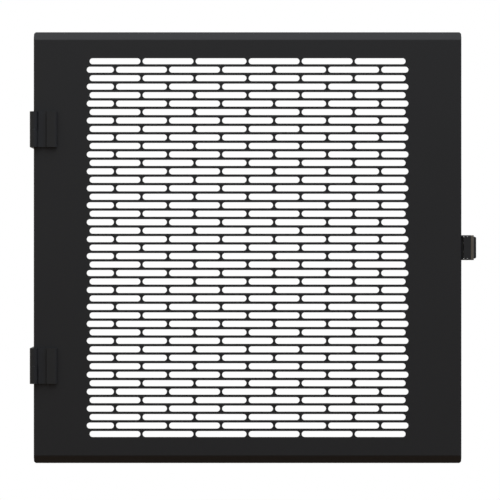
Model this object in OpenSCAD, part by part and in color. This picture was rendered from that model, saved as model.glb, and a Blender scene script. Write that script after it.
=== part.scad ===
// Perforated rack door: a folded steel sheet on two screw-on hinges, with a
// sprung lever latch on its free side.
//
// The frame is the rack's own: +X runs from the hinge side to the latch side,
// +Y runs back into the rack and +Z is up. The origin lies on the outside of
// the rack's left side, in the middle of the hinge leaves' screw holes.

/* [Door panel] */
// Width of the door, side to side
door_w = 505; // [360:1:800]
// Height of the door, top to bottom
door_h = 510; // [340:1:1000]
// Depth of the folded edges, from the front face to the back
door_d = 20; // [18:0.5:40]
// Thickness of the steel sheet
sheet_t = 1.5; // [1:0.1:1.8]
// Outside radius of the folds
fold_r = 2.2; // [2:0.1:3]
// Height, and depth, of the sloped band along the top and the bottom
band = 9.4; // [5:0.1:12]
// Size of the clip off each outer corner
corner_clip = 2; // [0.5:0.1:2.5]

/* [Vent slots] */
// Length of a full slot
slot_l = 60; // [30:1:100]
// Height of a slot
slot_h = 7.1; // [4:0.1:8]
// Web between two slots of a row
slot_web = 2.6; // [2:0.1:8]
// Height from one row to the next
row_pitch = 10; // [9.5:0.1:16]
// Least plain border left and right of the full rows
side_border = 62; // [40:1:100]
// Least plain border above and below the rows
end_border = 31; // [20:1:80]
// How far the short slots reach past the full rows
row_overhang = 3.3; // [0:0.1:8]

/* [Hinges] */
// Distance from the door's end to the middle of a hinge
hinge_inset = 115.5; // [50:0.5:120]
// Height of a hinge
hinge_h = 42; // [34:1:60]
// Radius of the barrel
barrel_r = 4.75; // [4.4:0.05:6]
// Radius of the hinge pin
pin_r = 2.5; // [1.5:0.1:2.8]
// Chamfer at the ends of the hinge pin
pin_chamfer = 0.5; // [0.2:0.1:0.8]
// How far a pin's ends lie inside the piece that holds it
pin_inset = 0.4; // [0.1:0.1:1]
// How far the barrel's axis lies inside the door's side
axis_inset = 0.65; // [0.2:0.05:1.5]
// Gap between the barrel and the door's face
barrel_gap = 0.4; // [0.3:0.05:1]
// Gap between the two knuckles of a barrel
knuckle_gap = 0.2; // [0.1:0.05:0.5]
// Gap between the frame knuckle and the neck of the door leaf
neck_gap = 0.5; // [0.3:0.05:1]
// Width of the door leaf with its cap, from the door's side
door_leaf_w = 27.5; // [26:0.5:40]
// Thickness of the door leaf under its cap
door_leaf_t = 3; // [2.6:0.1:3.5]
// Height of the leaf's neck beside the barrel
neck_h = 4.6; // [4:0.1:4.8]
// Width of the cap
cap_w = 12.9; // [11:0.1:14]
// Height of the cap above the door's face
cap_h = 5.2; // [5:0.1:7]
// Wall thickness of the cap
cap_wall = 1.2; // [0.8:0.1:1.4]
// Slope of the cap's side towards the barrel, across its foot
cap_slope = 1; // [0.2:0.1:1.2]
// Radius of the cap's outer edge
cap_round = 5; // [3:0.1:5]
// How much of that rounding the cap's side cuts off
cap_cut = 1.5; // [0.5:0.1:1.5]
// Thickness of the frame leaf
frame_leaf_t = 2; // [1.5:0.1:3]
// Radius of the frame leaf's back corners
leaf_corner = 4; // [1:0.5:6]
// How far the frame leaf's neck stands back from its seat
leaf_step = 0.3; // [0.1:0.1:0.6]

/* [Fixing to the rack] */
// Distance between the frame leaf's holes, front to back
hole_pitch = 20; // [16:1:40]
// Distance from the end of the leaf to a hole's middle
hole_edge = 8; // [6:0.5:10]
// Radius of the holes
hole_r = 2.25; // [1.7:0.05:3]
// Distance from the back holes to the leaf's back edge
leaf_tail = 7; // [6:0.5:12]
// Distance from the rack's front to the front holes
rack_margin = 8; // [6:0.5:15]
// Gap between the closed door and the rack's front
door_gap = 1; // [0.5:0.1:3]

/* [Fasteners] */
// Radius of the hinge screws
screw_r = 2; // [1.5:0.1:2.2]
// Radius of a hinge screw's countersunk head
screw_head_r = 3.8; // [3.2:0.1:4]
// Width across the flats of a hinge screw's hexagon socket
socket_af = 2.5; // [2:0.1:3]
// Depth of a hinge screw's socket
socket_depth = 1.1; // [0.6:0.1:1.2]
// Length of thread that stands out of the nut
screw_tail = 1.4; // [0:0.1:3]
// Distance of the hinge screws from the door's side
screw_inset = 20.6; // [20:0.1:21.5]
// Distance between the two screws of a hinge
screw_pitch = 22; // [14:1:24]
// Width of a nut across its flats
nut_af = 7; // [6:0.5:8]
// Thickness of a nut
nut_t = 3.2; // [2:0.1:4]
// Radius of a washer
washer_r = 4.5; // [4.2:0.1:6]
// Thickness of a washer
washer_t = 0.8; // [0.5:0.1:1.5]
// Radius of the latch screws
latch_screw_r = 1.5; // [1.2:0.1:2]
// Radius of a latch screw's head
latch_head_r = 2.8; // [2.4:0.1:3.4]
// Height of a latch screw's head
latch_head_h = 1.9; // [1.2:0.1:2.4]
// Width across the flats of a latch screw's hexagon socket
latch_socket_af = 2; // [1.5:0.1:2.5]
// Depth of a latch screw's socket
latch_socket_depth = 1; // [0.6:0.1:1.1]

/* [Latch] */
// Height of the latch
latch_h = 29.4; // [26:0.2:50]
// Reach of the lever past the door's side
latch_reach = 17.3; // [16.5:0.1:24]
// Gap between the door's side and the lever's paddle
latch_slot = 2.9; // [2.7:0.1:3.2]
// How far the latch's front lies behind the door's face
latch_set = 0.3; // [0:0.1:1]
// Thickness of the paddle
paddle_t = 3.2; // [2.5:0.1:3.4]
// Width of the bare metal strip
strip_w = 3.5; // [2:0.1:4]
// Thickness of the strip at its edges
strip_t = 1.2; // [0.8:0.1:1.6]
// Radius of the strip's curved front
strip_round = 5; // [3:0.1:12]
// Width of the lip at the lever's end
lip_w = 2.8; // [2:0.1:4]
// Depth of the lip, front to back
lip_d = 5.2; // [3.5:0.1:8]
// How far the lip lies behind the paddle's front
lip_set = 0.5; // [0:0.1:1.5]
// How much shorter the lip is than the lever, at each end
lip_drop = 1.8; // [1:0.1:3]
// Radius of the lip's outer corners
lip_corner = 2; // [0.5:0.1:2.2]
// Edge chamfer of the latch
latch_chamfer = 1.2; // [0.4:0.1:1.3]
// Thickness of the base plate
base_t = 2.5; // [2:0.1:3.5]
// Distance of the base plate from the door's back edge
base_margin = 1; // [0.5:0.1:2]
// Thickness of the base's outer cheeks
cheek_t = 1.6; // [1.4:0.1:2]
// Thickness of the base's inner ears
ear_t = 2.2; // [1.5:0.1:3]
// Distance from the middle to an inner ear's middle
ear_z = 7.5; // [7:0.1:8]
// Radius of an ear's eye
eye_r = 2.6; // [2.4:0.1:3]
// How far the pivot lies behind the door's face
pivot_back = 7; // [7:0.1:8]
// Radius of the pivot pin
pivot_r = 1.5; // [1:0.1:1.6]
// Thickness of the lever's arm
arm_t = 3; // [2.5:0.1:3.2]
// Gap between the lever's hub and the full-height part of the arm
arm_gap = 2; // [1:0.1:3]
// How far the hook catches behind the rack's front
hook_reach = 10; // [6:0.5:20]
// Length of the hook's tooth, front to back
tooth_l = 5; // [4:0.1:8]
// How far the tooth stands in from the arm
tooth_h = 3.9; // [2.5:0.1:4.4]
// Length of the tooth's blunt end, before its ramp starts
tooth_nose = 1; // [0.5:0.1:2]
// Width of the stop on the base, front to back
stop_w = 3; // [2:0.1:4]
// Height of the stop on the base
stop_l = 8; // [4:0.5:12]
// Distance of the latch screws from the door's back edge
latch_screw_inset = 4.5; // [4:0.1:6]
// Distance between the latch screws
latch_screw_pitch = 20; // [16:0.5:21]
// Metal left in front of a latch screw's end
screw_floor = 0.2; // [0.1:0.1:0.6]

/* [Latch spring] */
// Diameter of the wire
wire_d = 0.7; // [0.4:0.05:0.8]
// Radius of the coil, to the middle of the wire
coil_r = 2; // [1.9:0.05:2.1]
// Height from one turn to the next
coil_pitch = 0.8; // [0.8:0.05:1]
// Number of turns
coil_turns = 9.5; // [5.5:1:10.5]
// Length of the leg on the lever's arm
arm_leg = 8; // [6:0.1:10]
// Length of the leg on the base
base_leg = 6; // [5:0.1:8]
// Gap between a leg and what it bears on
leg_gap = 0.1; // [0.05:0.05:0.2]

/* [Clearances] */
// Radial clearance of a pin that turns
running = 0.06; // [0.02:0.01:0.1]
// Radial clearance of a pin or a thread that is held fast
snug = 0.02; // [0.01:0.01:0.05]
// Radial clearance of a screw in its hole
screw_play = 0.2; // [0.1:0.05:0.4]
// Clearance between pieces that slide or nest
slack = 0.3; // [0.1:0.05:0.4]
// Clearance round the plate inside the cap
cap_fit = 0.1; // [0.05:0.05:0.2]

/* [Hidden] */
$fn = 48;
coat = [0.16, 0.165, 0.17];
cast = [0.14, 0.14, 0.15];
bright = [0.75, 0.75, 0.76];
wire_colour = [0.55, 0.5, 0.42];
through = 1; // how far a cut runs past the surface it leaves by
lap = 0.5; // how far a form reaches into the one it grows from

// The rack's side is the plane x = 0, and the holes' middle is y = 0.
axis_x = barrel_r - frame_leaf_t;
left = axis_x - axis_inset;
right = left + door_w;
rack_front = -hole_pitch / 2 - rack_margin;
face_y = rack_front - door_gap - door_d;
axis_y = face_y - barrel_gap - barrel_r;
hinge_z = door_h / 2 - hinge_inset;

// Vent slots: full rows and rows shifted by half a slot take turns.
slot_pitch = slot_l + slot_web;
slots_across = floor((door_w - 2 * side_border + slot_web) / slot_pitch);
rows_each_way = floor((door_h / 2 - end_border - slot_h / 2) / row_pitch);
short_l = (slot_l - slot_web) / 2 + row_overhang;
full_row_w = slots_across * slot_pitch - slot_web;

// A hinge is drawn about its axis, with +Z towards the door's end.
face_off = barrel_gap + barrel_r;
leaf_right = door_leaf_w - axis_inset;
cap_left = leaf_right - cap_w;
neck_left = fold_r - axis_inset;
neck_run = cap_left - barrel_r - neck_gap;
neck_rise = neck_h - door_leaf_t;
neck_curve = (neck_run * neck_run + neck_rise * neck_rise) / (2 * neck_rise);
plate_right = leaf_right - cap_wall - cap_fit;
plate_h = hinge_h - 2 * (cap_wall + cap_fit);
knuckle_h = (hinge_h - knuckle_gap) / 2;
leaf_back = hole_pitch / 2 + leaf_tail - axis_y;
screw_x = screw_inset - axis_inset;
head_depth = screw_head_r - screw_r;
screw_len = door_leaf_t + sheet_t + washer_t + nut_t + screw_tail;

// The latch is drawn about its pivot, with its middle at z = 0.
pivot_out = base_t + slack + eye_r;
pivot_x = right + pivot_out;
pivot_y = face_y + pivot_back;
front = latch_set - pivot_back;
nose_r = -front;
base_left = -pivot_out;
base_right = base_left + base_t;
base_front = -pivot_r;
base_back = door_d - pivot_back - base_margin;
cheek_z = latch_h / 2 - cheek_t;
hub_top = cheek_z - slack;
hub_bottom = ear_z + ear_t / 2 + slack;
paddle_left = latch_slot - pivot_out;
paddle_right = latch_reach - pivot_out - lip_w;
strip_left = paddle_right - strip_w;
arm_start = eye_r + arm_gap;
web_front = front + paddle_t - lap;
tooth_front = door_d + door_gap - pivot_back + hook_reach;
arm_end = tooth_front + tooth_l;
latch_screw_y = door_d - pivot_back - latch_screw_inset;
stop_h = -arm_t / 2 - slack - base_right;

// ---- helpers ----

// Points of an arc about c, from angle a0 to a1 in n steps
function arc(c, r, a0, a1, n) =
    [for (i = [0:n]) c + r * [cos(a0 + (a1 - a0) * i / n), sin(a0 + (a1 - a0) * i / n)]];

function flip(points) = [for (i = [len(points) - 1:-1:0]) [points[i][0], -points[i][1]]];

// Runs a profile drawn in Y and Z along +X
module along_x(length) {
    rotate([90, 0, 90]) linear_extrude(length) children();
}

// Runs a profile drawn in X and Z along +Y
module along_y(length) {
    translate([0, length, 0]) rotate([90, 0, 0]) linear_extrude(length) children();
}

// Moves to a hinge: side is 1 for the upper one and -1 for the lower one
module at_hinge(side) {
    translate([axis_x, axis_y, side * hinge_z])
        mirror([0, 0, side < 0 ? 1 : 0])
            children();
}

module at_latch() {
    translate([pivot_x, pivot_y, 0]) children();
}

// Places of a hinge's two screws, with +Z pointing back through the sheet
module at_hinge_screws(side) {
    at_hinge(side)
        for (z = [-1, 1] * screw_pitch / 2)
            translate([screw_x, face_off, z])
                rotate([-90, 0, 0])
                    children();
}

// Places of the latch's two screws, with +Z pointing out of the door's side
module at_latch_screws() {
    at_latch()
        for (z = [-1, 1] * latch_screw_pitch / 2)
            translate([base_left, latch_screw_y, z])
                rotate([0, 90, 0])
                    children();
}

// ---- door panel ----

// The door seen from the side, drawn inset from its outside
module side_view(inset, depth) {
    r = fold_r - inset;
    lap = r * tan(22.5);
    shift = inset * (sqrt(2) - 1);
    face_end = door_h / 2 - band - shift;
    band_end = band + shift;
    half = concat(
        arc([inset + r, face_end - lap], r, 180, 135, 4),
        arc([band_end + lap, door_h / 2 - inset - r], r, 135, 90, 4),
        [[depth, door_h / 2 - inset]]
    );
    translate([face_y, 0]) polygon(concat(half, flip(half)));
}

// The door seen from above, drawn inset from its outside
module top_view(inset, depth) {
    r = fold_r - inset;
    polygon(concat(
        [[left + inset, face_y + depth]],
        arc([left + fold_r, face_y + fold_r], r, 180, 270, 8),
        arc([right - fold_r, face_y + fold_r], r, 270, 360, 8),
        [[right - inset, face_y + depth]]
    ));
}

// The door seen from the front, with its corners clipped
module front_view() {
    c = corner_clip;
    top = door_h / 2;
    polygon([
        [left + c, -top], [right - c, -top], [right, c - top], [right, top - c],
        [right - c, top], [left + c, top], [left, top - c], [left, c - top]
    ]);
}

module folded_block(inset, depth) {
    intersection() {
        translate([left, 0, 0]) along_x(door_w) side_view(inset, depth);
        translate([0, 0, -door_h / 2]) linear_extrude(door_h) top_view(inset, depth);
    }
}

// One slot with round ends, cut through the sheet; x is its left end
module slot(x, z, length) {
    r = slot_h / 2;
    translate([x, face_y - through, z])
        along_y(sheet_t + 2 * through)
            union() {
                translate([r, -r]) square([length - slot_h, slot_h]);
                translate([r, 0]) circle(r);
                translate([length - r, 0]) circle(r);
            }
}

module full_row(z) {
    start = left + (door_w - full_row_w) / 2;
    for (i = [0:slots_across - 1]) slot(start + i * slot_pitch, z, slot_l);
}

module shifted_row(z) {
    start = left + (door_w - full_row_w) / 2 - row_overhang;
    slot(start, z, short_l);
    for (i = [0:slots_across - 2])
        slot(start + short_l + slot_web + i * slot_pitch, z, slot_l);
    slot(start + full_row_w + 2 * row_overhang - short_l, z, short_l);
}

module door_panel() {
    color(coat)
        difference() {
            intersection() {
                folded_block(0, door_d);
                translate([0, face_y, 0]) along_y(door_d) front_view();
            }
            folded_block(sheet_t, door_d + through);
            for (row = [-rows_each_way:rows_each_way])
                if ((row + rows_each_way) % 2 == 0) full_row(row * row_pitch);
                else shifted_row(row * row_pitch);
            for (side = [-1, 1])
                at_hinge_screws(side)
                    translate([0, 0, -through])
                        cylinder(r = screw_r + screw_play, h = sheet_t + 2 * through);
            at_latch_screws()
                translate([0, 0, -sheet_t - through])
                    cylinder(r = latch_screw_r + screw_play, h = sheet_t + 2 * through);
        }
}

// ---- hinges ----

// The leaf that lies on the rack's side, with the outer knuckle
module frame_leaf(side) {
    relief = barrel_r + slack;
    color(coat)
        at_hinge(side)
            difference() {
                union() {
                    translate([0, 0, knuckle_gap / 2]) cylinder(r = barrel_r, h = knuckle_h);
                    translate([-barrel_r, 0, knuckle_gap / 2])
                        cube([frame_leaf_t - leaf_step, relief + lap, knuckle_h]);
                    translate([-barrel_r, relief, 0])
                        along_x(frame_leaf_t)
                            union() {
                                translate([0, -hinge_h / 2])
                                    square([leaf_back - relief - leaf_corner, hinge_h]);
                                translate([0, leaf_corner - hinge_h / 2])
                                    square([leaf_back - relief, hinge_h - 2 * leaf_corner]);
                                for (z = [-1, 1] * (hinge_h / 2 - leaf_corner))
                                    translate([leaf_back - relief - leaf_corner, z])
                                        circle(leaf_corner);
                            }
                }
                translate([0, 0, -hinge_h])
                    cylinder(r = pin_r + snug, h = 2 * hinge_h);
                for (y = [-1, 1] * hole_pitch / 2, z = [-1, 1] * (hinge_h / 2 - hole_edge))
                    translate([-barrel_r - through, y - axis_y, z])
                        rotate([0, 90, 0])
                            cylinder(r = hole_r, h = frame_leaf_t + 2 * through);
            }
}

// The neck of the door leaf seen from above, which sweeps down to the plate
module neck_view() {
    difference() {
        translate([neck_left, face_off - neck_h]) square([cap_left - neck_left, neck_h]);
        translate([cap_left, face_off - door_leaf_t - neck_curve]) circle(neck_curve, $fn = 96);
    }
}

// The leaf that lies on the door's face, with the inner knuckle
module door_leaf(side) {
    color(cast)
        difference() {
            at_hinge(side)
                difference() {
                    union() {
                        translate([0, 0, -hinge_h / 2]) {
                            cylinder(r = barrel_r, h = knuckle_h);
                            linear_extrude(hinge_h) neck_view();
                        }
                        translate([cap_left - through, face_off - door_leaf_t, -plate_h / 2])
                            cube([plate_right - cap_left + through, door_leaf_t, plate_h]);
                    }
                    translate([0, 0, -knuckle_gap / 2])
                        cylinder(r = barrel_r + neck_gap, h = hinge_h);
                    translate([0, 0, -hinge_h])
                        cylinder(r = pin_r + running, h = 2 * hinge_h);
                }
            at_hinge_screws(side) {
                translate([0, 0, -door_leaf_t - through])
                    cylinder(r = screw_r + screw_play, h = door_leaf_t + 2 * through);
                translate([0, 0, -door_leaf_t])
                    cylinder(
                        r1 = screw_head_r + snug,
                        r2 = screw_head_r + snug - head_depth,
                        h = head_depth
                    );
            }
        }
}

// The pin, pressed into the frame knuckle, with its ends chamfered
module hinge_pin(side) {
    half = hinge_h / 2 - pin_inset;
    c = pin_chamfer;
    color(bright)
        at_hinge(side)
            rotate_extrude()
                polygon([
                    [0, -half], [pin_r - c, -half], [pin_r, c - half],
                    [pin_r, half - c], [pin_r - c, half], [0, half]
                ]);
}

// The cap seen from above: a sloped side, a flat top and a rounded edge
module cap_view() {
    intersection() {
        polygon([
            [cap_left, face_off], [cap_left, face_off - door_leaf_t],
            [cap_left + cap_slope, face_off - cap_h],
            [leaf_right, face_off - cap_h], [leaf_right, face_off]
        ]);
        union() {
            translate([cap_left, face_off - cap_h])
                square([cap_w - cap_round + cap_cut, cap_h]);
            translate([leaf_right - cap_round + cap_cut, face_off - cap_h + cap_round])
                circle(cap_round);
        }
    }
}

// The cover that clips over the plate and hides the screws
module hinge_cap(side) {
    room = [cap_left + cap_slope + cap_wall, face_off - cap_h + cap_wall];
    color(cast)
        at_hinge(side)
            difference() {
                translate([0, 0, -hinge_h / 2]) linear_extrude(hinge_h) cap_view();
                translate([cap_left - through, face_off - door_leaf_t, -plate_h / 2 - cap_fit])
                    cube([plate_right + cap_fit - cap_left + through, cap_h, plate_h + 2 * cap_fit]);
                translate([room[0], room[1], -plate_h / 2])
                    cube([plate_right - room[0] - cap_cut, cap_h, plate_h]);
            }
}

module hinge_screws(side) {
    color(bright)
        at_hinge_screws(side)
            translate([0, 0, -door_leaf_t])
                difference() {
                    union() {
                        cylinder(r1 = screw_head_r, r2 = screw_r, h = head_depth);
                        cylinder(r = screw_r, h = screw_len);
                    }
                    translate([0, 0, -through])
                        cylinder(d = socket_af / cos(30), h = socket_depth + through, $fn = 6);
                }
}

module hinge_washers(side) {
    color(bright)
        at_hinge_screws(side)
            translate([0, 0, sheet_t])
                difference() {
                    cylinder(r = washer_r, h = washer_t);
                    translate([0, 0, -through])
                        cylinder(r = screw_r + screw_play, h = washer_t + 2 * through);
                }
}

module hinge_nuts(side) {
    color(bright)
        at_hinge_screws(side)
            translate([0, 0, sheet_t + washer_t])
                difference() {
                    cylinder(d = nut_af / cos(30), h = nut_t, $fn = 6);
                    translate([0, 0, -through])
                        cylinder(r = screw_r + snug, h = nut_t + 2 * through);
                }
}

// ---- latch ----

// The space that the latch fills seen from the side, with its front chamfers
module latch_envelope() {
    top = latch_h / 2;
    c = latch_chamfer;
    translate([base_left, 0, 0])
        along_x(2 * latch_reach)
            polygon([
                [front, c - top], [front + c, -top], [arm_end, -top],
                [arm_end, top], [front + c, top], [front, top - c]
            ]);
}

// An outer cheek seen from above: a round nose about the pivot
module cheek_view() {
    union() {
        intersection() {
            circle(nose_r);
            translate([0, front]) square([nose_r, nose_r + eye_r]);
        }
        translate([base_left, front]) square([pivot_out, base_back - front]);
    }
}

// An inner ear seen from above: an eye on a foot
module ear_view() {
    union() {
        circle(eye_r);
        translate([base_left, base_front]) square([pivot_out, eye_r - base_front]);
    }
}

// The cast base: a plate on the door's side, two cheeks, two ears and a stop
module latch_base() {
    color(cast)
        difference() {
            at_latch()
                difference() {
                    intersection() {
                        union() {
                            translate([base_left, base_front, -latch_h / 2])
                                cube([base_t, base_back - base_front, latch_h]);
                            for (z = [-latch_h / 2, cheek_z])
                                translate([0, 0, z]) linear_extrude(cheek_t) cheek_view();
                            for (z = [-1, 1] * ear_z)
                                translate([0, 0, z - ear_t / 2]) linear_extrude(ear_t) ear_view();
                            translate([base_right - lap, latch_screw_y - stop_w / 2, -stop_l / 2])
                                cube([stop_h + lap, stop_w, stop_l]);
                        }
                        latch_envelope();
                    }
                    translate([0, 0, -latch_h])
                        cylinder(r = pivot_r + snug, h = 2 * latch_h);
                }
            at_latch_screws()
                translate([0, 0, -through])
                    cylinder(r = latch_screw_r + snug, h = base_t - screw_floor + through);
        }
}

// The lever's paddle, its full height past the cheeks' noses
module paddle() {
    difference() {
        intersection() {
            translate([paddle_left, front, -latch_h / 2])
                cube([paddle_right - paddle_left, paddle_t, latch_h]);
            latch_envelope();
        }
        for (z = [-latch_h, cheek_z - slack])
            translate([0, 0, z]) {
                cylinder(r = nose_r + slack, h = latch_h - cheek_z + slack);
                translate([-latch_reach, -latch_reach, 0])
                    cube([latch_reach, latch_reach, latch_h - cheek_z + slack]);
            }
    }
}

// The lip seen from the front, with its outer corners rounded
module lip_front() {
    top = latch_h / 2 - lip_drop;
    union() {
        translate([paddle_right - through, -top])
            square([lip_w + through - lip_corner, 2 * top]);
        translate([paddle_right - through, lip_corner - top])
            square([lip_w + through, 2 * (top - lip_corner)]);
        for (z = [-1, 1] * (top - lip_corner))
            translate([paddle_right + lip_w - lip_corner, z]) circle(lip_corner);
    }
}

// The lever: hub, paddle with its lip, and the arm that ends in the hook
module latch_lever() {
    color(cast)
        at_latch()
            difference() {
                union() {
                    paddle();
                    translate([0, front + lip_set, 0]) along_y(lip_d) lip_front();
                    for (z = [-hub_top, hub_bottom])
                        translate([0, 0, z])
                            linear_extrude(hub_top - hub_bottom)
                                union() {
                                    circle(eye_r);
                                    translate([-arm_t / 2, web_front])
                                        square([arm_t, arm_start - web_front + lap]);
                                }
                    translate([-arm_t / 2, arm_start, -hub_top])
                        cube([arm_t, arm_end - arm_start, 2 * hub_top]);
                    translate([0, 0, -hub_top])
                        linear_extrude(2 * hub_top)
                            polygon([
                                [0, tooth_front], [-arm_t / 2 - tooth_h, tooth_front],
                                [-arm_t / 2 - tooth_h, tooth_front + tooth_nose],
                                [-arm_t / 2, arm_end], [0, arm_end]
                            ]);
                }
                translate([0, 0, -latch_h])
                    cylinder(r = pivot_r + running, h = 2 * latch_h);
                translate([strip_left, front - through, -latch_h])
                    cube([strip_w, strip_t + through, 2 * latch_h]);
            }
}

// The bare strip let into the paddle, with a slightly curved front
module latch_grip_strip() {
    sag = strip_round - sqrt(strip_round * strip_round - strip_w * strip_w / 4);
    color(bright)
        at_latch()
            intersection() {
                translate([strip_left, front, -latch_h / 2]) cube([strip_w, strip_t, latch_h]);
                translate([strip_left + strip_w / 2, front + strip_round, -latch_h / 2])
                    cylinder(r = strip_round, h = latch_h, $fn = 96);
                latch_envelope();
            }
}

module latch_pivot_pin() {
    color(bright)
        at_latch()
            translate([0, 0, pin_inset - latch_h / 2])
                cylinder(r = pivot_r, h = latch_h - 2 * pin_inset);
}

// The spring's middle line: one leg, the coil and the other leg
function spring_path() =
    let (
        steps = 10,
        height = coil_pitch * coil_turns,
        rings = round(coil_turns * steps),
        on_base = base_right + leg_gap + wire_d / 2,
        on_arm = arm_t / 2 + leg_gap + wire_d / 2
    )
    concat(
        [[on_base, base_leg, -height / 2], [-coil_r, wire_d, -height / 2]],
        [for (i = [0:rings])
            let (a = 180 - 360 * i / steps)
            [coil_r * cos(a), coil_r * sin(a), height * (i / rings - 0.5)]],
        [[coil_r, wire_d, height / 2], [on_arm, arm_leg, height / 2]]
    );

// A round wire of many flat sides along a path that never runs straight up
module wire(path, d, sides) {
    last = len(path) - 1;
    rings = [for (i = [0:last])
        let (
            way = path[min(i + 1, last)] - path[max(i - 1, 0)],
            out = cross(way, [0, 0, 1]) / norm(cross(way, [0, 0, 1])),
            up = cross(out, way) / norm(way)
        )
        for (k = [0:sides - 1])
            path[i] + d / 2 * (out * cos(360 * k / sides) + up * sin(360 * k / sides))];
    walls = [for (i = [0:last - 1], k = [0:sides - 1])
        let (a = i * sides + k, b = i * sides + (k + 1) % sides)
        for (half = [[a, b, b + sides], [a, b + sides, a + sides]]) half];
    start = [for (k = [sides - 1:-1:0]) k];
    end = [for (k = [0:sides - 1]) last * sides + k];
    polyhedron(rings, concat([start, end], walls));
}

module latch_spring() {
    color(wire_colour) at_latch() wire(spring_path(), wire_d, 6);
}

module latch_screws() {
    color(bright)
        at_latch_screws() {
            translate([0, 0, -sheet_t])
                cylinder(r = latch_screw_r, h = sheet_t + base_t - 2 * screw_floor);
            translate([0, 0, -sheet_t - latch_head_h])
                difference() {
                    cylinder(r = latch_head_r, h = latch_head_h);
                    translate([0, 0, -through])
                        cylinder(
                            d = latch_socket_af / cos(30),
                            h = latch_socket_depth + through,
                            $fn = 6
                        );
                }
        }
}

door_panel();
frame_leaf(1);  // upper_hinge_frame_leaf
frame_leaf(-1);  // lower_hinge_frame_leaf
door_leaf(1);  // upper_hinge_door_leaf
door_leaf(-1);  // lower_hinge_door_leaf
hinge_pin(1);  // upper_hinge_pin
hinge_pin(-1);  // lower_hinge_pin
hinge_cap(1);  // upper_hinge_cap
hinge_cap(-1);  // lower_hinge_cap
hinge_screws(1);  // upper_hinge_screws
hinge_screws(-1);  // lower_hinge_screws
hinge_washers(1);  // upper_hinge_washers
hinge_washers(-1);  // lower_hinge_washers
hinge_nuts(1);  // upper_hinge_nuts
hinge_nuts(-1);  // lower_hinge_nuts
latch_base();
latch_lever();
latch_grip_strip();
latch_pivot_pin();
latch_spring();
latch_screws();
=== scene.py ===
"""Dresses the perforated rack door: black coats, plated fasteners, a bright strip and a studio.

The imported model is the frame. Every length is in metres, in the frame's own axes: +X runs from
the hinges to the latch, +Y back into the rack and +Z up.
"""

import logging
import math
from dataclasses import dataclass
from enum import Enum
from typing import Dict, Sequence, Tuple, Union

import bmesh
import bpy
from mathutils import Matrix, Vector


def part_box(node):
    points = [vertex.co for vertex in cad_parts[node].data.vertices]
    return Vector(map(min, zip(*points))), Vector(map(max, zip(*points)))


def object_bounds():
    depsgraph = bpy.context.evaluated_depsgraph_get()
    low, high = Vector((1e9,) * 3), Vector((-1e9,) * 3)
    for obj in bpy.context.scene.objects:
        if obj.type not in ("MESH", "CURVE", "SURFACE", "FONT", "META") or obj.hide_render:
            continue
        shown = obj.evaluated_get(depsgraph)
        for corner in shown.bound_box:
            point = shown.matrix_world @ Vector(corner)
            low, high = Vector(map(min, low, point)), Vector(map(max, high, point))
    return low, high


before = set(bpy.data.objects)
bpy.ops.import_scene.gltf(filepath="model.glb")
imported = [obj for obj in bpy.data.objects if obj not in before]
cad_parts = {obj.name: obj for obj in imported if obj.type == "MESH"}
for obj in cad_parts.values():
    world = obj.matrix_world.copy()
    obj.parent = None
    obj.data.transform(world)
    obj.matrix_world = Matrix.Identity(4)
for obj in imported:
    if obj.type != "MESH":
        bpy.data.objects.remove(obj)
CAD_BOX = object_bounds()

MM = 0.001
log = logging.getLogger("rack_door")

Colour = Tuple[float, float, float]
Operand = Union["Signal", float]
Key = Union[str, int]


class Slot(str, Enum):
    """The record's material slots."""

    SHEET = "coated_sheet"
    CASTING = "coated_casting"
    MOULDING = "black_moulding"
    ZINC = "zinc_plate"
    STRIP = "satin_strip"
    WIRE = "spring_wire"


def written(red: float, green: float, blue: float) -> Colour:
    """Turns a colour written as screen values from 0 to 255 into linear light.

    Args:
        red: The red screen value.
        green: The green screen value.
        blue: The blue screen value.

    Returns:
        The three linear parts, from 0 to 1.
    """

    def linear(value: float) -> float:
        """One part in linear light."""
        share = value / 255
        return share / 12.92 if share <= 0.04045 else ((share + 0.055) / 1.055) ** 2.4

    return linear(red), linear(green), linear(blue)


# ---- shader expressions ----


class Signal:
    """A shader socket that adds a Math node when it stands in an expression."""

    def __init__(self, graph: "Graph", socket: bpy.types.NodeSocket) -> None:
        """Wraps a socket of the graph's tree."""
        self.graph = graph
        self.socket = socket

    def __add__(self, other: Operand) -> "Signal":
        """self + other"""
        return self.graph.maths("ADD", self, other)

    def __radd__(self, other: Operand) -> "Signal":
        """other + self"""
        return self.graph.maths("ADD", other, self)

    def __sub__(self, other: Operand) -> "Signal":
        """self - other"""
        return self.graph.maths("SUBTRACT", self, other)

    def __rsub__(self, other: Operand) -> "Signal":
        """other - self"""
        return self.graph.maths("SUBTRACT", other, self)

    def __mul__(self, other: Operand) -> "Signal":
        """self * other"""
        return self.graph.maths("MULTIPLY", self, other)

    def __rmul__(self, other: Operand) -> "Signal":
        """other * self"""
        return self.graph.maths("MULTIPLY", other, self)


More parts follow.
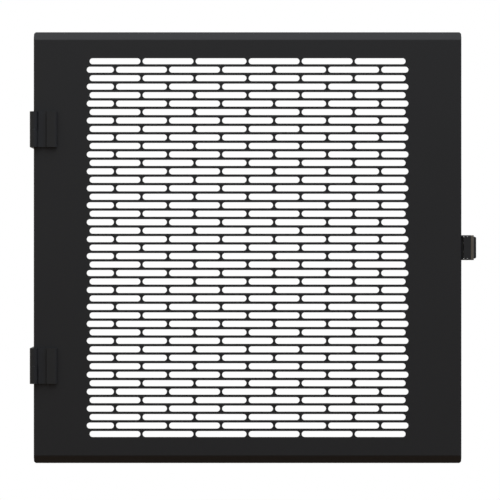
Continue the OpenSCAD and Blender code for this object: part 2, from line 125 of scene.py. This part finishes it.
class Graph:
    """The node tree of one material or world."""

    def __init__(self, tree: bpy.types.NodeTree) -> None:
        """Empties the tree."""
        self.tree = tree
        tree.nodes.clear()

    def node(
        self,
        kind: str,
        settings: Dict[str, object],
        inputs: Dict[Key, object],
        output: Key = 0,
    ) -> Signal:
        """Adds a node.

        Args:
            kind: The node's type.
            settings: Its properties, which are set first.
            inputs: A number, a colour or a signal for each socket named.
            output: The socket that is handed back.

        Returns:
            The node's output as a signal.
        """
        made = self.tree.nodes.new(kind)
        for name, value in settings.items():
            setattr(made, name, value)
        for name, value in inputs.items():
            if isinstance(value, Signal):
                self.tree.links.new(value.socket, made.inputs[name])
            else:
                made.inputs[name].default_value = value
        return Signal(self, made.outputs[output] if made.outputs else None)

    def maths(self, operation: str, *operands: Operand) -> Signal:
        """Adds a Math node on one or two operands."""
        return self.node("ShaderNodeMath", {"operation": operation}, dict(enumerate(operands)))

    def mixed(self, factor: Operand, first: object, second: object) -> Signal:
        """Adds a colour Mix node.

        Args:
            factor: The share of the second colour.
            first: A colour or a signal.
            second: A colour or a signal.

        Returns:
            The mixed colour.
        """
        settings = {"data_type": "RGBA", "clamp_factor": True}
        inputs = {0: factor, 6: self._rgba(first), 7: self._rgba(second)}
        return self.node("ShaderNodeMix", settings, inputs, 2)

    @staticmethod
    def _rgba(colour: object) -> object:
        """Adds the fourth part to a plain colour and leaves a signal as it is."""
        return colour if isinstance(colour, Signal) else (*colour, 1.0)

    def place(self) -> Signal:
        """The point's place in the object's own axes."""
        return self.node("ShaderNodeTexCoord", {}, {}, "Object")

    def stretched(self, place: Signal, scale: Tuple[float, float, float]) -> Signal:
        """The place with each axis multiplied by its own factor."""
        settings = {"operation": "MULTIPLY"}
        return self.node("ShaderNodeVectorMath", settings, {0: place, 1: scale}, "Vector")

    def noise(self, place: Signal, width: float, detail: float = 2.0) -> Signal:
        """Adds soft noise.

        Args:
            place: Where the noise is read.
            width: The width of its largest waves.
            detail: How many finer waves lie on them.

        Returns:
            The noise, from 0 to 1.
        """
        inputs = {"Vector": place, "Scale": 1 / width, "Detail": detail, "Roughness": 0.5}
        return self.node("ShaderNodeTexNoise", {"noise_dimensions": "3D"}, inputs, 0)

    def between(self, value: Signal, low: float, high: float) -> Signal:
        """Rises smoothly from 0 at low to 1 at high."""
        settings = {"interpolation_type": "SMOOTHSTEP"}
        inputs = {"Value": value, "From Min": low, "From Max": high}
        return self.node("ShaderNodeMapRange", settings, inputs)

    def light_path(self, ray: str) -> Signal:
        """1 for rays of the kind named, such as Is Camera Ray, and 0 for others."""
        return self.node("ShaderNodeLightPath", {}, {}, ray)


# ---- finishes ----


@dataclass
class Surface:
    """What a finish works out over a surface."""

    tone: Signal  # from 0, the darker colour, to 1, the lighter one
    roughness: Signal
    height: Signal  # from 0 to 1


@dataclass(frozen=True)
class Finish:
    """A finish: its colours and gloss, and the relief that breaks them up."""

    slot: Slot
    light: Colour
    dark: Colour
    roughness: float
    roughness_play: float
    relief: float
    metallic: float = 0.0
    specular: float = 0.5

    def surface(self, graph: Graph, place: Signal) -> Surface:
        """Works out the finish's tone, roughness and height; each kind of finish has its own."""
        raise NotImplementedError

    def material(self) -> bpy.types.Material:
        """Builds the finish as a material.

        Returns:
            The material, named after its slot.
        """
        made = bpy.data.materials.new(self.slot.value)
        made.use_nodes = True
        graph = Graph(made.node_tree)
        look = self.surface(graph, graph.place())
        bump = graph.node(
            "ShaderNodeBump",
            {},
            {"Strength": 1.0, "Distance": self.relief, "Height": look.height},
        )
        inputs = {
            "Base Color": graph.mixed(look.tone, self.dark, self.light),
            "Roughness": look.roughness,
            "Metallic": self.metallic,
            "Specular IOR Level": self.specular,
            "Normal": bump,
        }
        shader = graph.node("ShaderNodeBsdfPrincipled", {}, inputs)
        graph.node("ShaderNodeOutputMaterial", {}, {"Surface": shader})
        return made


@dataclass(frozen=True)
class PowderCoat(Finish):
    """Satin powder coat: a faint orange peel with a finer grain on it."""

    peel_width: float = 1.6 * MM
    grain_width: float = 0.28 * MM
    cloud_width: float = 90 * MM
    cloud_share: float = 0.4
    peel_share: float = 0.7

    def surface(self, graph: Graph, place: Signal) -> Surface:
        """Peel and grain make the relief, and slow clouds shift the tone a little.

        Args:
            graph: The material's graph.
            place: The point's place.

        Returns:
            The coat's tone, roughness and height.
        """
        peel = graph.noise(place, self.peel_width, 1.0)
        grain = graph.noise(place, self.grain_width, 2.0)
        clouds = graph.noise(place, self.cloud_width, 2.0)
        return Surface(
            tone=clouds * self.cloud_share + grain * (1 - self.cloud_share),
            roughness=self.roughness + (peel + clouds - 1) * self.roughness_play,
            height=peel * self.peel_share + grain * (1 - self.peel_share),
        )


@dataclass(frozen=True)
class MouldedPlastic(Finish):
    """Moulded nylon: the fine even pits of a spark-eroded mould."""

    pit_width: float = 0.35 * MM
    flow_width: float = 14 * MM
    flow_stretch: Tuple[float, float, float] = (1.0, 1.0, 0.4)
    flow_share: float = 0.6

    def surface(self, graph: Graph, place: Signal) -> Surface:
        """Pits make the relief, and flow streaks shift the tone.

        Args:
            graph: The material's graph.
            place: The point's place.

        Returns:
            The moulding's tone, roughness and height.
        """
        inputs = {"Vector": place, "Scale": 1 / self.pit_width, "Randomness": 1.0}
        pits = graph.node("ShaderNodeTexVoronoi", {"feature": "SMOOTH_F1"}, inputs, "Distance")
        flow = graph.noise(graph.stretched(place, self.flow_stretch), self.flow_width, 3.0)
        return Surface(
            tone=flow * self.flow_share + pits * (1 - self.flow_share),
            roughness=self.roughness + (flow - 0.5) * self.roughness_play,
            height=pits,
        )


@dataclass(frozen=True)
class ZincPlate(Finish):
    """Bright zinc plate: fine crystals, and a faint yellow and blue drift."""

    crystal_width: float = 0.5 * MM
    drift_width: float = 5 * MM
    drift_range: Tuple[float, float] = (0.35, 0.65)

    def surface(self, graph: Graph, place: Signal) -> Surface:
        """Crystals make the relief and the gloss uneven.

        Args:
            graph: The material's graph.
            place: The point's place.

        Returns:
            The plate's tone, roughness and height.
        """
        crystals = graph.noise(place, self.crystal_width, 3.0)
        drift = graph.noise(place, self.drift_width, 2.0)
        return Surface(
            tone=graph.between(drift, *self.drift_range),
            roughness=self.roughness + (crystals - 0.5) * self.roughness_play,
            height=crystals,
        )


@dataclass(frozen=True)
class BrushedMetal(Finish):
    """Metal with fine lines along one axis, as brushing or drawing leaves them."""

    line_width: float = 0.06 * MM
    line_stretch: float = 0.01
    cloud_width: float = 8 * MM
    line_share: float = 0.6

    def surface(self, graph: Graph, place: Signal) -> Surface:
        """Long thin lines make the relief, and clouds of handling shift the gloss.

        Args:
            graph: The material's graph.
            place: The point's place.

        Returns:
            The metal's tone, roughness and height.
        """
        along = graph.stretched(place, (1.0, 1.0, self.line_stretch))
        lines = graph.noise(along, self.line_width, 2.0)
        clouds = graph.noise(place, self.cloud_width, 2.0)
        return Surface(
            tone=lines * self.line_share + clouds * (1 - self.line_share),
            roughness=self.roughness + (lines + clouds - 1) * self.roughness_play,
            height=lines,
        )


FINISHES: Tuple[Finish, ...] = (
    PowderCoat(
        slot=Slot.SHEET,
        light=written(44.5, 46, 48.5),
        dark=written(39.5, 41, 43),
        roughness=0.5,
        roughness_play=0.1,
        relief=0.012 * MM,
        specular=0.3,
    ),
    PowderCoat(
        slot=Slot.CASTING,
        light=written(44, 46, 49),
        dark=written(39, 41, 43.5),
        roughness=0.48,
        roughness_play=0.12,
        relief=0.016 * MM,
        specular=0.3,
        peel_width=1.1 * MM,
        grain_width=0.22 * MM,
        cloud_width=18 * MM,
    ),
    MouldedPlastic(
        slot=Slot.MOULDING,
        light=written(44, 45.5, 47.5),
        dark=written(40, 41.5, 43),
        roughness=0.55,
        roughness_play=0.1,
        relief=0.01 * MM,
        specular=0.3,
    ),
    ZincPlate(
        slot=Slot.ZINC,
        light=written(214, 213, 206),
        dark=written(196, 200, 207),
        roughness=0.32,
        roughness_play=0.2,
        relief=0.004 * MM,
        metallic=1.0,
    ),
    BrushedMetal(
        slot=Slot.STRIP,
        light=written(138, 132, 122),
        dark=written(103, 99, 94),
        roughness=0.42,
        roughness_play=0.15,
        relief=0.003 * MM,
        metallic=1.0,
    ),
    BrushedMetal(
        slot=Slot.WIRE,
        light=written(150, 143, 131),
        dark=written(112, 106, 97),
        roughness=0.35,
        roughness_play=0.15,
        relief=0.002 * MM,
        metallic=1.0,
        line_stretch=1.0,
        line_width=0.12 * MM,
    ),
)


# ---- building ----


class Workshop:
    """Dresses pieces: it holds the materials and looks up the frame's nodes."""

    def __init__(self, finishes: Sequence[Finish]) -> None:
        """Builds each finish once."""
        self.materials = {finish.slot: finish.material() for finish in finishes}

    def dress(self, node: str, slot: Slot) -> bpy.types.Object:
        """Gives a CAD node its finish.

        Args:
            node: The node's name.
            slot: The finish's slot.

        Returns:
            The node's object.
        """
        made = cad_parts[node]
        if not made.material_slots:
            made.data.materials.append(self.materials[slot])
        for place in made.material_slots:
            place.material = self.materials[slot]
        log.info("dressed %s in %s", node, slot.value)
        return made


def middle_and_size(node: str) -> Tuple[Vector, Vector]:
    """The middle and the size of a node's box."""
    low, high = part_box(node)
    return (low + high) / 2, high - low


# ---- sub-assemblies ----


@dataclass
class DoorPanel:
    """The folded and perforated sheet."""

    node: str = "door_panel"

    def build(self, shop: Workshop) -> None:
        """Coats the sheet."""
        shop.dress(self.node, Slot.SHEET)


@dataclass
class Hinge:
    """One hinge: the leaf on the rack, the leaf on the door, its cap and its fasteners."""

    side: str

    def node(self, part: str) -> str:
        """The name of one of this hinge's nodes."""
        return f"{self.side}_hinge_{part}"

    def build(self, shop: Workshop) -> None:
        """Dresses the leaves, the cap, the pin and the fasteners."""
        shop.dress(self.node("frame_leaf"), Slot.CASTING)
        shop.dress(self.node("door_leaf"), Slot.CASTING)
        shop.dress(self.node("cap"), Slot.MOULDING)
        for part in ("pin", "screws", "washers", "nuts"):
            shop.dress(self.node(part), Slot.ZINC)


@dataclass
class Latch:
    """The sprung lever latch on the door's free side."""

    def build(self, shop: Workshop) -> None:
        """Dresses the base, the lever with its strip, the pin, the spring and the screws."""
        shop.dress("latch_base", Slot.CASTING)
        shop.dress("latch_lever", Slot.CASTING)
        shop.dress("latch_grip_strip", Slot.STRIP)
        shop.dress("latch_pivot_pin", Slot.ZINC)
        shop.dress("latch_spring", Slot.WIRE)
        shop.dress("latch_screws", Slot.ZINC)


# ---- studio ----


@dataclass
class Studio:
    """A pale floor, a white surround, soft light from above and the camera."""

    camera_distance: float = 3.19
    aim_right: float = 2.85 * MM
    aim_down: float = 2.8 * MM
    half_view: float = 0.295
    floor_drop: float = 80 * MM
    floor_size: float = 14.0
    floor_fade: Tuple[float, float] = (0.2, 0.42)
    floor_pale: Colour = (0.93, 0.93, 0.925)
    floor_dim: Colour = (0.2, 0.13, 0.08)  # what other rays than the camera's meet
    floor_gloss: float = 0.05  # how much of the pale floor the coats mirror
    ambient: Colour = (0.6, 0.615, 0.64)
    ambient_slopes: Tuple[Colour, ...] = (  # how the ambient light grows along X, Y and Z
        (-0.02, 0.02, 0.12),
        (0.2, 0.2, 0.2),
        (0.34, 0.345, 0.34),
    )
    white_behind: Tuple[float, float] = (0.5, 0.9)
    key_height: float = 1.5
    key_ahead: float = 1.1
    key_size: float = 1.1
    key_power: float = 6.5
    key_colour: Colour = (1.0, 0.985, 0.96)

    def build(self) -> None:
        """Builds the stage, the lights and the camera."""
        centre, _ = middle_and_size("door_panel")
        self.add_floor(centre)
        self.add_world()
        self.add_key(centre)
        self.add_camera(centre)
        view = bpy.context.scene.view_settings
        view.view_transform = "Standard"
        log.info("built the studio")

    def add_floor(self, centre: Vector) -> None:
        """Lays the floor a little below the door and fades it to white far away.

        Args:
            centre: The middle of the door.
        """
        mesh = bmesh.new()
        bmesh.ops.create_grid(mesh, x_segments=1, y_segments=1, size=self.floor_size / 2)
        height = CAD_BOX[0].z - self.floor_drop
        bmesh.ops.translate(mesh, verts=mesh.verts, vec=(centre.x, centre.y, height))
        data = bpy.data.meshes.new("floor")
        mesh.to_mesh(data)
        mesh.free()
        data.materials.append(self.floor_material(centre))
        floor = bpy.data.objects.new("floor", data)
        bpy.context.scene.collection.objects.link(floor)

    def floor_material(self, centre: Vector) -> bpy.types.Material:
        """Makes the floor pale where it is seen, and dim and warm to the light it throws back.

        Args:
            centre: The middle of the door, where the floor doesn't fade.

        Returns:
            The floor's material.
        """
        made = bpy.data.materials.new("pale_floor")
        made.use_nodes = True
        graph = Graph(made.node_tree)
        settings = {"operation": "DISTANCE"}
        middle = (centre.x, centre.y, CAD_BOX[0].z - self.floor_drop)
        inputs = {0: graph.place(), 1: middle}
        away = graph.node("ShaderNodeVectorMath", settings, inputs, "Value")
        pale = graph.node("ShaderNodeBsdfDiffuse", {}, {"Color": (*self.floor_pale, 1.0)})
        white = graph.node("ShaderNodeEmission", {}, {"Color": (1.0, 1.0, 1.0, 1.0)})
        fade = graph.between(away, *self.floor_fade)
        seen = graph.node("ShaderNodeMixShader", {}, {0: fade, 1: pale, 2: white})
        dim = graph.node("ShaderNodeBsdfDiffuse", {}, {"Color": (*self.floor_dim, 1.0)})
        rays = graph.light_path("Is Camera Ray") + graph.light_path("Is Transmission Ray")
        rays = rays + self.floor_gloss * graph.light_path("Is Glossy Ray")
        shader = graph.node("ShaderNodeMixShader", {}, {0: rays, 1: dim, 2: seen})
        graph.node("ShaderNodeOutputMaterial", {}, {"Surface": shader})
        return made

    def add_world(self) -> None:
        """Surrounds the object: white where it is seen, and soft light that falls off to the front."""
        world = bpy.data.worlds.new("surround")
        bpy.context.scene.world = world
        world.use_nodes = True
        graph = Graph(world.node_tree)
        way = graph.node("ShaderNodeTexCoord", {}, {}, "Generated")
        parts = [
            graph.node("ShaderNodeSeparateXYZ", {}, {"Vector": way}, axis) for axis in "XYZ"
        ]
        light = graph.node("ShaderNodeCombineXYZ", {}, dict(enumerate(self.ambient)))
        for part, slope in zip(parts, self.ambient_slopes):
            scaled = graph.node(
                "ShaderNodeVectorMath", {"operation": "SCALE"}, {0: slope, "Scale": part}, "Vector"
            )
            light = graph.node(
                "ShaderNodeVectorMath", {"operation": "ADD"}, {0: light, 1: scaled}, "Vector"
            )
        behind = graph.between(parts[1], *self.white_behind)
        seen = graph.light_path("Is Camera Ray") + graph.light_path("Is Transmission Ray")
        seen = seen + graph.light_path("Is Glossy Ray") * behind
        colour = graph.mixed(seen, light, (1.0, 1.0, 1.0))
        shader = graph.node("ShaderNodeBackground", {}, {"Color": colour, "Strength": 1.0})
        graph.node("ShaderNodeOutputWorld", {}, {"Surface": shader})

    def add_key(self, centre: Vector) -> None:
        """Hangs the soft box above and ahead of the door.

        Args:
            centre: The middle of the door, which it points at.
        """
        data = bpy.data.lights.new("soft_box", "AREA")
        data.shape = "SQUARE"
        data.size = self.key_size
        data.energy = self.key_power
        data.color = self.key_colour
        lamp = bpy.data.objects.new("soft_box", data)
        lamp.location = centre + Vector((0, -self.key_ahead, self.key_height))
        lamp.rotation_euler = (centre - lamp.location).to_track_quat("-Z", "Y").to_euler()
        bpy.context.scene.collection.objects.link(lamp)

    def add_camera(self, centre: Vector) -> None:
        """Stands the camera far in front of the door, level with its middle.

        Args:
            centre: The middle of the door.
        """
        low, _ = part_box("door_panel")
        data = bpy.data.cameras.new("camera")
        data.lens = data.sensor_width / 2 * self.camera_distance / self.half_view
        camera = bpy.data.objects.new("camera", data)
        camera.location = (
            centre.x + self.aim_right,
            low.y - self.camera_distance,
            centre.z - self.aim_down,
        )
        camera.rotation_euler = (math.pi / 2, 0, 0)
        bpy.context.scene.collection.objects.link(camera)
        bpy.context.scene.camera = camera


def main() -> None:
    """Builds the sub-assemblies in order, then the studio."""
    logging.basicConfig(level=logging.INFO, format="%(name)s: %(message)s")
    shop = Workshop(FINISHES)
    DoorPanel().build(shop)
    Hinge("upper").build(shop)
    Hinge("lower").build(shop)
    Latch().build(shop)
    Studio().build()


if __name__ == "__main__":
    main()
